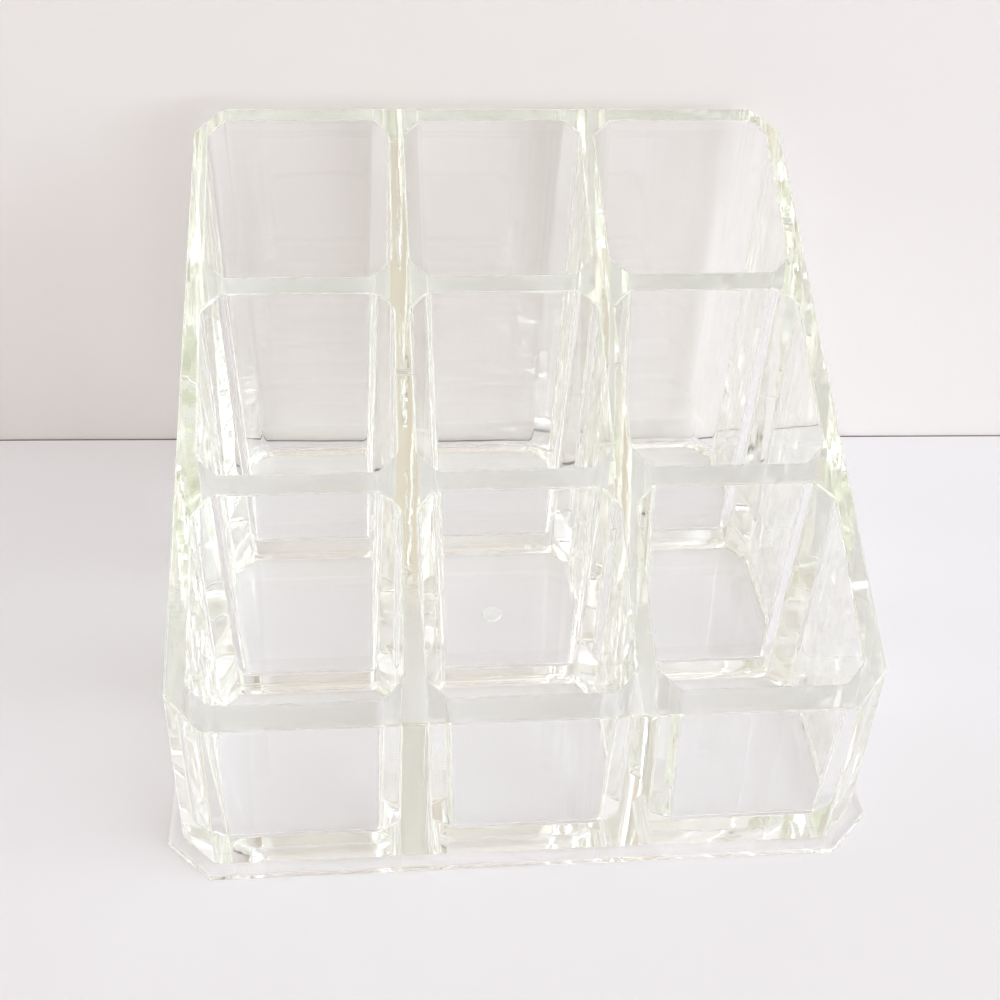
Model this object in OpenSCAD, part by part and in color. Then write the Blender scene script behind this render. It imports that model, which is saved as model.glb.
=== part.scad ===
// Clear vanity organizer for lipsticks: nine open cells, three by three, in a block whose rim slopes
// down from the back to the front. It is moulded in one; the nodes here are its base, its outer
// walls, the dividers between its columns and the partitions between its rows, face to face.
// X runs to the right, Y to the back and Z up, with the origin under the middle of the base.

/* [Cells] */
// Width of each cell at the rim
cell_w = 26.7; // [20:0.1:36]
// Depth of each cell at the rim, from front to back
cell_d = 26.2; // [20:0.1:36]
// Leg of the chamfer on the four upright corners of a cell
cell_leg = 2.5; // [1:0.1:4]
// Lean of the cell's sides in degrees, wider at the rim than at the floor
cell_draft = 1.4; // [0.5:0.1:2]
// Radius where the cell's sides meet its floor
cove_r = 1.5; // [0.5:0.1:2]

/* [Walls] */
// Thickness of the left and right walls at the front of the rim
side_t = 2.7; // [2:0.1:5]
// Thickness of the front wall at its rim, and of the back wall at the same height
end_t = 3; // [2:0.1:5]
// Thickness at the rim of the dividers between the columns
divider_t = 2.5; // [1.5:0.1:5]
// Thickness at the rim of the partitions between the rows
partition_t = 2.9; // [1.5:0.1:5]
// Leg of the chamfer on the four upright outer corners
corner_leg = 4.5; // [2.5:0.1:6]
// Lean of the outer faces in degrees, narrower at the rim than at the base
wall_draft = 0.6; // [0.2:0.1:1.5]

/* [Rim] */
// Height of the rim at the front wall's outer face
front_h = 26; // [18:1:40]
// Height of the rim at the back wall's outer face
back_h = 66; // [45:1:90]

/* [Base] */
// Thickness of the base, which is the floor of every cell
base_t = 3.2; // [2:0.1:6]
// Reach of the base's edge beyond the walls that stand on it
foot_reach = 2; // [0.5:0.1:5]
// Leg of the chamfer on the base's four corners
foot_leg = 5.9; // [4:0.1:9]
// Lean of the base's edge in degrees, wider at the bottom
foot_draft = 7; // [2:0.5:15]

/* [Hidden] */

$fn = 48;
clear_plastic = [0.93, 0.95, 0.90, 0.45];

// Columns run from left to right and rows from front to back
columns = [0, 1, 2];
rows = [0, 1, 2];
middle = 1;
last = 2;

pitch_x = cell_w + divider_t;
pitch_y = cell_d + partition_t;
grid_w = len(columns) * cell_w + last * divider_t;
grid_d = len(rows) * cell_d + last * partition_t;

// Size over the outer faces, at the height of the front rim and where they meet the base
block_w = grid_w + 2 * side_t;
block_d = grid_d + 2 * end_t;
wall_spread = (front_h - base_t) * tan(wall_draft);
foot_w = block_w + 2 * (wall_spread + foot_reach);
foot_d = block_d + 2 * (wall_spread + foot_reach);

// Long enough for a prism to run past the whole block, whichever way it lies
overrun = foot_w + foot_d + back_h;

// A cove's circle is drawn this much larger, so that it crosses the faces that it would only touch
cove_share = 1.01;

function column_x(column) = (column - middle) * pitch_x;
function row_y(row) = (row - middle) * pitch_y;
function rim_z(y) = front_h + (back_h - front_h) * (y / block_d + 1 / 2);

// Distance by which a row's cells narrow on each side, from the rim to the floor
function narrowing(row) = (rim_z(row_y(row)) - base_t) * tan(cell_draft);

// The walls stand on the base above the coves, and the seams between them clear the cells' corners
cove_rise_share = 1.35;
seam_z = base_t + cove_r * cove_rise_share;
seam_inset = narrowing(last) + cell_leg;
seam_x = grid_w / 2 - seam_inset;
seam_y = grid_d / 2 - seam_inset;
divider_reach = divider_t / 2 + seam_inset;

// The four ways to look across a block with chamfered corners: [turn, half width at half_z]
function ways(w, d, leg) = [
    [0, w / 2], [90, d / 2],
    [45, (w / 2 + d / 2 - leg) / sqrt(2)], [135, (w / 2 + d / 2 - leg) / sqrt(2)]
];

// Outline drawn as X and Z, extruded along Y and turned about Z
module prism(turn) {
    rotate([0, 0, turn]) rotate([90, 0, 0]) linear_extrude(overrun, center = true) children();
}

// Upright outline that is 2 * half wide at half_z and narrows upwards by its lean
module leaning_outline(half, half_z, low, high, lean) {
    low_half = half + (half_z - low) * tan(lean);
    high_half = half + (half_z - high) * tan(lean);
    polygon([[-low_half, low], [low_half, low], [high_half, high], [-high_half, high]]);
}

// Outline of a cell, with round coves along the floor
module cell_outline(half, half_z, high) {
    cove_z = base_t + cove_r;
    cove_x = half - (half_z - cove_z) * tan(cell_draft) - cove_r / cos(cell_draft);
    difference() {
        leaning_outline(half, half_z, base_t, high, -cell_draft);
        for (side = [0, 1]) mirror([side, 0]) translate([cove_x, cove_z]) difference() {
            translate([0, -2 * cove_r]) square(2 * cove_r);
            circle(r = cove_r * cove_share);
        }
    }
}

// Room inside one cell, run on past the rim
module cell(column, row) {
    translate([column_x(column), row_y(row), 0])
        intersection_for (way = ways(cell_w, cell_d, cell_leg))
            prism(way[0]) cell_outline(way[1], rim_z(row_y(row)), back_h + front_h);
}

// The block as it would be without its cells, under the sloping rim
module block() {
    intersection() {
        intersection_for (way = ways(block_w, block_d, corner_leg))
            prism(way[0]) leaning_outline(way[1], front_h, 0, back_h + front_h, wall_draft);
        prism(90) polygon([
            [-foot_d / 2, 0], [foot_d / 2, 0],
            [foot_d / 2, rim_z(foot_d / 2)], [-foot_d / 2, rim_z(-foot_d / 2)]
        ]);
    }
}

// The part of the block between two X and two Y limits, with the cells that reach it cut out
module panel(x_limits, y_limits, cell_columns, cell_rows) {
    color(clear_plastic) difference() {
        intersection() {
            block();
            translate([x_limits[0], y_limits[0], seam_z])
                cube([x_limits[1] - x_limits[0], y_limits[1] - y_limits[0], overrun]);
        }
        for (column = cell_columns, row = cell_rows) cell(column, row);
    }
}

module side_wall(side) {
    x_limits = side < 0 ? [-foot_w, -seam_x] : [seam_x, foot_w];
    panel(x_limits, [-foot_d, foot_d], [side < 0 ? columns[0] : last], rows);
}

module end_wall(side) {
    y_limits = side < 0 ? [-foot_d, -seam_y] : [seam_y, foot_d];
    panel([-seam_x, seam_x], y_limits, columns, [side < 0 ? rows[0] : last]);
}

// The divider on the right of a column
module divider(column) {
    x = (column_x(column) + column_x(column + 1)) / 2;
    panel([x - divider_reach, x + divider_reach], [-seam_y, seam_y], [column, column + 1], rows);
}

// The partition behind a row, in one column
module partition(column, row) {
    half = cell_w / 2 - seam_inset;
    x = column_x(column);
    panel([x - half, x + half], [row_y(row), row_y(row + 1)], [column], [row, row + 1]);
}

// Foot and floor in one plate, with the coves and the lowest part of the walls
module base() {
    color(clear_plastic) difference() {
        union() {
            intersection_for (way = ways(foot_w, foot_d, foot_leg))
                prism(way[0]) leaning_outline(way[1], 0, 0, base_t, foot_draft);
            intersection() {
                block();
                cube([foot_w, foot_d, 2 * seam_z], center = true);
            }
        }
        for (column = columns, row = rows) cell(column, row);
    }
}

module left_wall() side_wall(-1);
module right_wall() side_wall(1);
module front_wall() end_wall(-1);
module back_wall() end_wall(1);
module left_divider() divider(0);
module right_divider() divider(1);
module front_left_partition() partition(0, 0);
module front_middle_partition() partition(1, 0);
module front_right_partition() partition(2, 0);
module back_left_partition() partition(0, 1);
module back_middle_partition() partition(1, 1);
module back_right_partition() partition(2, 1);

base();
left_wall();
right_wall();
front_wall();
back_wall();
left_divider();
right_divider();
front_left_partition();
front_middle_partition();
front_right_partition();
back_left_partition();
back_middle_partition();
back_right_partition();
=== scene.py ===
# A clear lipstick organizer with nine open cells, moulded in one piece, on a pale table against a pale wall.
# Metres, in the part's own frame: X to the right, Y to the back, Z up. The dictionaries have millimetres,
# degrees and watts, unless they say otherwise.
import math

import bmesh
import bpy
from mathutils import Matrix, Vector


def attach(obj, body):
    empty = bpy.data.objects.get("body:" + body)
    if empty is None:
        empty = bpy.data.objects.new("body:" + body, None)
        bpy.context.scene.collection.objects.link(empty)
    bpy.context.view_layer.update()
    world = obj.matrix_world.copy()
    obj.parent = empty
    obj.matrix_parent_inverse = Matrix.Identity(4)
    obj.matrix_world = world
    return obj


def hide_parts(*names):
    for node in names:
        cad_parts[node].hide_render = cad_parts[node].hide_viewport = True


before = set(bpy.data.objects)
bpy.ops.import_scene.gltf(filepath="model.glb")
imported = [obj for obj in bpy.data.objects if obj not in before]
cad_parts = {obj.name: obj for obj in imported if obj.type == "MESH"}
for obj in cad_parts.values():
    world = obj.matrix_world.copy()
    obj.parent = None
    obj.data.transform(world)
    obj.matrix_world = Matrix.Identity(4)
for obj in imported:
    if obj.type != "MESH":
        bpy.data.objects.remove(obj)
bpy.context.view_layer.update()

mm = 0.001
micrometre = 0.000001
straightUp = Vector((0, 0, 1))


def deselect():
    if bpy.context.object and bpy.context.object.mode != "OBJECT":
        bpy.ops.object.mode_set(mode="OBJECT")
    bpy.ops.object.select_all(action="DESELECT")


def activate(piece):
    deselect()
    piece.select_set(True)
    bpy.context.view_layer.objects.active = piece


# Opens a piece in edit mode with only the wanted edges or faces selected
def selectParts(piece, kind, wanted):
    activate(piece)
    bpy.ops.object.mode_set(mode="EDIT")
    bpy.ops.mesh.select_mode(type=kind)
    bpy.ops.mesh.select_all(action="DESELECT")
    form = bmesh.from_edit_mesh(piece.data)
    parts = [part for part in (form.edges if kind == "EDGE" else form.faces) if wanted(part)]
    for part in parts:
        part.select_set(True)
    bmesh.update_edit_mesh(piece.data)
    return len(parts)


def roundEdges(piece, wanted, radius, steps):
    count = selectParts(piece, "EDGE", wanted)
    if count:
        bpy.ops.mesh.bevel(offset=radius * mm, offset_type="OFFSET", segments=steps, affect="EDGES",
                           clamp_overlap=False, loop_slide=False)
    bpy.ops.object.mode_set(mode="OBJECT")
    print("rounded", count, "edges of", piece.name)


# Cuts off what lies outside a plane and closes the cut
def cutAt(piece, point, out):
    activate(piece)
    bpy.ops.object.mode_set(mode="EDIT")
    bpy.ops.mesh.select_all(action="SELECT")
    bpy.ops.mesh.bisect(plane_co=point, plane_no=out, use_fill=True, clear_outer=True)
    bpy.ops.object.mode_set(mode="OBJECT")


# Joins another piece to this one or cuts it out of it, and the other is gone
def combine(piece, other, operation):
    activate(piece)
    mix = piece.modifiers.new("mix", "BOOLEAN")
    mix.operation = operation
    mix.solver = "EXACT"
    mix.object = other
    bpy.ops.object.modifier_apply(modifier=mix.name)
    bpy.data.objects.remove(other, do_unlink=True)


# How edges and faces are told apart: angles between two faces, and shares of a length
limits = {
    "onPlane": 0.001, "uprightShare": 0.9, "uprightAngle": 20, "flatAngle": 3, "sideShare": 0.05,
    "cornerAngle": 30, "facingShare": 0.99, "smoothAngle": 31,
}


def liesOn(edge, point, normal):
    return all(abs((corner.co - point).dot(normal)) < limits["onPlane"] * mm for corner in edge.verts)


def looksTo(face, direction):
    return face.normal.dot(direction) > limits["facingShare"]


def isUpright(edge):
    along = edge.verts[1].co - edge.verts[0].co
    bend = math.degrees(edge.calc_face_angle(0))
    return abs(along.z) > limits["uprightShare"] * along.length and bend > limits["uprightAngle"]


# The edges of a cell's corners, all the way round the cove, but not the lines where the cove meets a flat
def isCorner(edge):
    if len(edge.link_faces) != 2 or math.degrees(edge.calc_face_angle(0)) < limits["flatAngle"]:
        return False
    flats = [Vector(face.normal[:2]) for face in edge.link_faces]
    if min(flat.length for flat in flats) <= limits["sideShare"]:
        return False
    return math.degrees(flats[0].angle(flats[1])) > limits["cornerAngle"]


# The moulding's sizes as the part's source has them, then the small forms that differ from it or that it
# leaves out, and last the steps in a rounding, how strongly the flats hold their shading against the roundings,
# and how far raw blocks and cutters run past the moulding. The foot is a thin flange under a thicker floor.
moulding = {
    "cellWide": 26.7, "cellDeep": 26.2, "cellLeg": 2.5, "cellDraft": 1.4, "cove": 1.5,
    "side": 2.7, "end": 3.0, "divider": 2.5, "partition": 2.9,
    "cornerLeg": 4.5, "wallDraft": 0.6, "frontHigh": 26.0, "backHigh": 66.0,
    "baseThick": 3.2, "footReach": 2.0, "footLeg": 5.9, "footDraft": 7.0,
    "footHigh": 1.0, "cellCornerDraft": 2.5,
    "rimRound": 0.3, "cornerRound": 0.35, "footRound": 0.3, "cellRound": 0.45,
    "gateAt": (-1.3, 0.2), "gateWide": 3.0, "gateDeep": 0.35, "gateRound": 0.25,
    "gateNub": 0.9, "gateNubShare": 0.6, "gateSides": 32,
    "roundSteps": 3, "coveSteps": 6, "flatWeight": 100,
    "rawShare": 2, "rawOver": 20, "clear": 0.002, "flare": 1.04, "flareHigh": 10,
}


# A block with chamfered uprights, from low to high. Its sides and chamfers lean, and its half sizes are
# those at height levelAt.
def leaningBlock(name, halfX, halfY, leg, low, high, lean, cornerLean, levelAt):
    wide = moulding["rawShare"] * 2 * max(halfX, halfY)
    bpy.ops.mesh.primitive_cube_add(size=1, location=(0, 0, (low + high) / 2 * mm),
                                    scale=(wide * mm, wide * mm, (high - low) * mm))
    block = bpy.context.object
    block.name = name
    bpy.ops.object.transform_apply(location=True, rotation=True, scale=True)
    diagonal = (halfX + halfY - leg) / math.sqrt(2)
    for turn, half in zip(range(0, 360, 45), [halfX, diagonal, halfY, diagonal] * 2):
        out = Vector((math.cos(math.radians(turn)), math.sin(math.radians(turn)), 0))
        tilt = math.radians(cornerLean if turn % 90 else lean)
        point = (out * half + straightUp * levelAt) * mm
        cutAt(block, point, out * math.cos(tilt) + straightUp * math.sin(tilt))
    activate(block)
    bpy.ops.object.mode_set(mode="EDIT")
    bpy.ops.mesh.select_all(action="SELECT")
    bpy.ops.mesh.normals_make_consistent(inside=False)
    bpy.ops.object.mode_set(mode="OBJECT")
    return block


# The cutter for a cell: above the rim it widens, and the edge under that is what rounds the cell's rim
def cellCutter(m, rimHigh, high, up):
    cell = leaningBlock("cell", m["cellWide"] / 2, m["cellDeep"] / 2, m["cellLeg"], m["baseThick"], high,
                        -m["cellDraft"], -m["cellCornerDraft"], rimHigh)
    floor = straightUp * m["baseThick"] * mm
    roundEdges(cell, lambda edge: liesOn(edge, floor, straightUp), m["cove"], m["coveSteps"])
    roundEdges(cell, isCorner, m["cellRound"], m["roundSteps"])
    lip = straightUp * rimHigh * mm + up * m["clear"] * mm
    cutAt(cell, lip, up)
    selectParts(cell, "FACE", lambda face: looksTo(face, up))
    bpy.ops.mesh.extrude_region_move()
    bpy.ops.transform.resize(value=(m["flare"], m["flare"], m["flare"]), center_override=lip)
    bpy.ops.mesh.extrude_region_move(TRANSFORM_OT_translate={"value": up * m["flareHigh"] * mm})
    bpy.ops.object.mode_set(mode="OBJECT")
    roundEdges(cell, lambda edge: liesOn(edge, lip, up)
               and min((face.calc_center_median() - lip).dot(up) for face in edge.link_faces) < -mm,
               m["rimRound"], m["roundSteps"])
    return cell


def buildMoulding(m):
    pitchX = m["cellWide"] + m["divider"]
    pitchY = m["cellDeep"] + m["partition"]
    blockWide = 3 * m["cellWide"] + 2 * m["divider"] + 2 * m["side"]
    blockDeep = 3 * m["cellDeep"] + 2 * m["partition"] + 2 * m["end"]
    slope = (m["backHigh"] - m["frontHigh"]) / blockDeep
    rimMiddle = (m["backHigh"] + m["frontHigh"]) / 2
    reach = (m["frontHigh"] - m["baseThick"]) * math.tan(math.radians(m["wallDraft"])) + m["footReach"]
    high = m["backHigh"] + m["rawOver"]
    up = Vector((0, -slope, 1)).normalized()
    ground = Vector((0, 0, 0))
    rim = straightUp * rimMiddle * mm

    foot = leaningBlock("foot", blockWide / 2 + reach, blockDeep / 2 + reach, m["footLeg"],
                        0, m["footHigh"], m["footDraft"], m["footDraft"], 0)
    roundEdges(foot, isUpright, m["cornerRound"], m["roundSteps"])
    for level in (straightUp * m["footHigh"] * mm, ground):
        roundEdges(foot, lambda edge: liesOn(edge, level, straightUp), m["footRound"], m["roundSteps"])
    body = leaningBlock("moulding", blockWide / 2, blockDeep / 2, m["cornerLeg"],
                        m["footHigh"] / 2, high, m["wallDraft"], m["wallDraft"], m["frontHigh"])
    cutAt(body, rim, up)
    roundEdges(body, isUpright, m["cornerRound"], m["roundSteps"])
    roundEdges(body, lambda edge: liesOn(edge, rim, up), m["rimRound"], m["roundSteps"])
    combine(body, foot, "UNION")
    for row in (-1, 0, 1):
        cell = cellCutter(m, rimMiddle + slope * row * pitchY, high, up)
        for column in (-1, 0, 1):
            copy = cell.copy()
            copy.data = cell.data.copy()
            bpy.context.collection.objects.link(copy)
            copy.location = (column * pitchX * mm, row * pitchY * mm, 0)
            activate(copy)
            bpy.ops.object.transform_apply(location=True, rotation=True, scale=True)
            combine(body, copy, "DIFFERENCE")
        bpy.data.objects.remove(cell, do_unlink=True)
    return body


# The round dent that the mould's gate leaves under the middle cell, with the stub of the broken sprue in it
def cutGate(body, m):
    gateX, gateY = m["gateAt"]
    bpy.ops.mesh.primitive_cylinder_add(vertices=m["gateSides"], radius=m["gateWide"] / 2 * mm,
                                        depth=2 * m["gateDeep"] * mm,
                                        location=(gateX * mm, gateY * mm, 0))
    dent = bpy.context.object
    dent.name = "gate"
    bpy.ops.object.transform_apply(location=True, rotation=True, scale=True)
    top = straightUp * m["gateDeep"] * mm
    selectParts(dent, "FACE", lambda face: looksTo(face, straightUp))
    bpy.ops.mesh.inset(thickness=(m["gateWide"] - m["gateNub"]) / 2 * mm)
    bpy.ops.transform.translate(value=-top * m["gateNubShare"])
    bpy.ops.object.mode_set(mode="OBJECT")
    roundEdges(dent, lambda edge: liesOn(edge, top, straightUp), m["gateRound"], m["roundSteps"])
    combine(body, dent, "DIFFERENCE")


deselect()
body = buildMoulding(moulding)
cutGate(body, moulding)
activate(body)
bpy.ops.object.shade_smooth_by_angle(angle=math.radians(limits["smoothAngle"]))
weigh = body.modifiers.new("weigh", "WEIGHTED_NORMAL")
weigh.keep_sharp = True
weigh.weight = moulding["flatWeight"]
bpy.ops.object.modifier_apply(modifier=weigh.name)
print("moulding made,", len(body.data.vertices), "points")


# Linear colour, with alpha, from an sRGB hex value
def linear(colour):
    parts = [int(colour[at:at + 2], 16) / 255 for at in (1, 3, 5)]
    return [part / 12.92 if part <= 0.04045 else ((part + 0.055) / 1.055) ** 2.4 for part in parts] + [1]


# Settings go to the node's inputs, by name or number, or else to the node itself
def addNode(tree, kind, settings={}, links={}):
    node = tree.nodes.new(kind)
    for name, value in settings.items():
        if isinstance(name, int) or name in node.inputs:
            node.inputs[name].default_value = value
        else:
            setattr(node, name, value)
    for name, source in links.items():
        tree.links.new(source, node.inputs[name])
    return node


def newMaterial(name):
    material = bpy.data.materials.new(name)
    material.use_nodes = True
    material.node_tree.nodes.clear()
    return material


# Waves are the slow swell of a face that shrank in the mould, and flow is the fine drawn-out trace of the
# melt. Each has its size across, its size along and its level of detail, and its height in micrometres.
plastic = {
    "colour": "#ffffff", "ior": 1.59, "tint": "#f4fbe5", "density": 4.2,
    "waves": (9, 9, 1), "wavesHigh": 24, "flow": (0.9, 22, 2), "flowHigh": 2.5,
    "gateReach": 1.6, "gateRoughness": 0.9,
}


def unevenness(tree, place, across, along, detail):
    scale = (1 / (across * mm), 1 / (across * mm), 1 / (along * mm))
    stretch = addNode(tree, "ShaderNodeMapping", {"Scale": scale}, {"Vector": place})
    return addNode(tree, "ShaderNodeTexNoise", {"Scale": 1, "Detail": detail},
                   {"Vector": stretch.outputs[0]}).outputs[0]


# Clear polystyrene, injection moulded: glossy, bends light strongly and looks faintly yellow where light runs
# far inside it. Its faces aren't quite flat, so what shows through them wavers a little. Only the gate's dent
# is rough, where the sprue broke off, and it shows as a pale spot.
def clearPolystyrene(gateAt):
    material = newMaterial("clearPolystyrene")
    tree = material.node_tree
    place = addNode(tree, "ShaderNodeTexCoord").outputs["Object"]
    waves = unevenness(tree, place, *plastic["waves"])
    flow = unevenness(tree, place, *plastic["flow"])
    swell = addNode(tree, "ShaderNodeBump", {"Strength": 1, "Distance": plastic["wavesHigh"] * micrometre},
                    {"Height": waves})
    trace = addNode(tree, "ShaderNodeBump", {"Strength": 1, "Distance": plastic["flowHigh"] * micrometre},
                    {"Height": flow, "Normal": swell.outputs[0]})
    gate = (gateAt[0] * mm, gateAt[1] * mm, 0)
    fromGate = addNode(tree, "ShaderNodeVectorMath", {"operation": "DISTANCE", 1: gate}, {0: place})
    inGate = addNode(tree, "ShaderNodeMath", {"operation": "LESS_THAN", 1: plastic["gateReach"] * mm},
                     {0: fromGate.outputs["Value"]})
    roughness = addNode(tree, "ShaderNodeMath", {"operation": "MULTIPLY", 1: plastic["gateRoughness"]},
                        {0: inGate.outputs[0]})
    surface = addNode(tree, "ShaderNodeBsdfPrincipled", {
        "Base Color": linear(plastic["colour"]), "IOR": plastic["ior"], "Transmission Weight": 1.0},
        {"Normal": trace.outputs[0], "Roughness": roughness.outputs[0]})
    inside = addNode(tree, "ShaderNodeVolumeAbsorption",
                     {"Color": linear(plastic["tint"]), "Density": plastic["density"]})
    addNode(tree, "ShaderNodeOutputMaterial", {},
            {"Surface": surface.outputs[0], "Volume": inside.outputs[0]})
    return material


body.data.materials.clear()
body.data.materials.append(clearPolystyrene(moulding["gateAt"]))
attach(body, "root")
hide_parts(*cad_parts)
print("plastic done")

# The table ends in a narrow gap before the wall. A dark sheet in that gap is painted shade for the crease. A
# floor of the table's colour goes on behind the wall.
# The dark grey of the sheet in the gap is painted shade. It stands in for the shade in the crease between table
# and wall.
room = {
    "table": "#e7e7ea", "floorBehind": "#e7e7ea", "wall": "#e4e0de", "gapShade": "#6e6765", "roughness": 0.8,
    "below": 0.1, "wallAt": 49.0, "wallTurn": -1.44, "gapWide": 0.35,
    "tableHalf": 6000, "wallHalf": 2000, "wallHigh": 2000, "wallBelow": 20,
}


# Matt paint: one even colour with no shine. It is pale for the room and dark grey for the painted shade in the
# gap. The back of a sheet is see-through, so the room never hides the part.
def mattPaint(name, colour):
    material = newMaterial(name)
    tree = material.node_tree
    paint = addNode(tree, "ShaderNodeBsdfPrincipled", {
        "Base Color": linear(colour), "Roughness": room["roughness"], "Specular IOR Level": 0})
    clear = addNode(tree, "ShaderNodeBsdfTransparent")
    back = addNode(tree, "ShaderNodeNewGeometry").outputs["Backfacing"]
    surface = addNode(tree, "ShaderNodeMixShader", {},
                      {"Fac": back, 1: paint.outputs[0], 2: clear.outputs[0]})
    addNode(tree, "ShaderNodeOutputMaterial", {}, {"Surface": surface.outputs[0]})
    return material


def addSheet(name, middle, size, turn):
    deselect()
    bpy.ops.mesh.primitive_plane_add(size=mm, location=middle * mm, rotation=turn)
    sheet = bpy.context.object
    sheet.name = name
    sheet.scale = (size[0], size[1], 1)
    sheet.data.materials.append(mattPaint(name, room[name]))


wallTurn = math.radians(room["wallTurn"])
upright = (math.radians(90), 0, wallTurn)
level = (0, 0, wallTurn)
towardsRoom = Vector((math.sin(wallTurn), -math.cos(wallTurn), 0))
wallFoot = Vector((0, room["wallAt"], -room["below"]))
wallSize = (2 * room["wallHalf"], room["wallHigh"])
gapShadeSize = (2 * room["wallHalf"], room["gapWide"])
tableSize = (2 * room["tableHalf"], 2 * room["tableHalf"])
addSheet("wall", wallFoot + straightUp * (room["wallHigh"] / 2 - room["wallBelow"]), wallSize, upright)
# A dark sheet in the gap: painted shade along the line where the table meets the wall
addSheet("gapShade", wallFoot + towardsRoom * room["gapWide"] / 2, gapShadeSize, level)
addSheet("table", wallFoot + towardsRoom * (room["gapWide"] + room["tableHalf"]), tableSize, level)
addSheet("floorBehind", wallFoot - towardsRoom * room["tableHalf"], tableSize, level)

# Windows on the right. The azimuth runs from the front towards the right, and both it and the height are
# seen from a point that is lift above the table.
lights = {
    "windowFront": {"azimuth": 45, "height": 12, "away": 900, "lift": 30, "size": 420, "power": 2.2,
                    "colour": "#eaf3ff"},
    "windowSide": {"azimuth": 75, "height": 14, "away": 900, "lift": 30, "size": 420, "power": 1,
                   "colour": "#eaf3ff"},
}
for name, light in lights.items():
    turn = math.radians(light["azimuth"])
    rise = math.radians(light["height"])
    out = Vector((math.sin(turn) * math.cos(rise), -math.cos(turn) * math.cos(rise), math.sin(rise)))
    bpy.ops.object.light_add(type="AREA", location=(out * light["away"] + straightUp * light["lift"]) * mm,
                             rotation=out.to_track_quat("Z", "Y").to_euler())
    lamp = bpy.context.object
    lamp.name = name
    lamp.data.shape = "SQUARE"
    lamp.data.size = light["size"] * mm
    lamp.data.energy = light["power"]
    lamp.data.color = linear(light["colour"])[:3]

# The rest of the room: a cool glow that grows to the right, warm ones that grow overhead and to the front,
# and a little all round, which has no direction and so takes its share from least
glow = {
    "right": {"towards": (1, 0, 0), "least": 0, "strength": 2.25, "colour": "#eaf3ff"},
    "overhead": {"towards": (0, 0, 1), "least": 0, "strength": 0.8, "colour": "#fff1e2"},
    "front": {"towards": (0, -1, 0), "least": 0, "strength": 0.35, "colour": "#fff1e2"},
    "round": {"towards": (0, 0, 0), "least": 1, "strength": 0.03, "colour": "#ffffff"},
}
world = bpy.data.worlds.new("studio")
bpy.context.scene.world = world
world.use_nodes = True
tree = world.node_tree
tree.nodes.clear()
direction = addNode(tree, "ShaderNodeTexCoord").outputs["Generated"]
total = None
for part in glow.values():
    along = addNode(tree, "ShaderNodeVectorMath", {"operation": "DOT_PRODUCT", 1: part["towards"]},
                    {0: direction})
    share = addNode(tree, "ShaderNodeMath", {"operation": "MAXIMUM", 1: part["least"]},
                    {0: along.outputs["Value"]})
    strength = addNode(tree, "ShaderNodeMath", {"operation": "MULTIPLY", 1: part["strength"]},
                       {0: share.outputs[0]})
    shine = addNode(tree, "ShaderNodeBackground", {"Color": linear(part["colour"])},
                    {"Strength": strength.outputs[0]}).outputs[0]
    total = addNode(tree, "ShaderNodeAddShader", {}, {0: total, 1: shine}).outputs[0] if total else shine
addNode(tree, "ShaderNodeOutputWorld", {}, {"Surface": total})
print("room and lights done")

# The photograph's view: place, turn about X, Y and Z, lens and frame width. Light has to get through many
# clear walls, so it bounces often and no bounce is blurred.
view = {
    "place": (-18.70, -163.62, 156.16), "turn": (51.295, -2.045, -4.663), "lens": 51.39, "frame": 36,
    "near": 10, "clearBounces": 64, "mattBounces": 12, "blur": 0,
}
bpy.ops.object.camera_add(location=Vector(view["place"]) * mm,
                          rotation=[math.radians(angle) for angle in view["turn"]])
camera = bpy.context.object
camera.data.lens = view["lens"]
camera.data.sensor_width = view["frame"]
camera.data.clip_start = view["near"] * mm
bpy.context.scene.camera = camera
bpy.context.scene.view_settings.view_transform = "Standard"
cycles = bpy.context.scene.cycles
cycles.max_bounces = view["clearBounces"]
cycles.transmission_bounces = view["clearBounces"]
cycles.glossy_bounces = view["clearBounces"]
cycles.transparent_max_bounces = view["clearBounces"]
cycles.diffuse_bounces = view["mattBounces"]
cycles.blur_glossy = view["blur"]
print("view set")
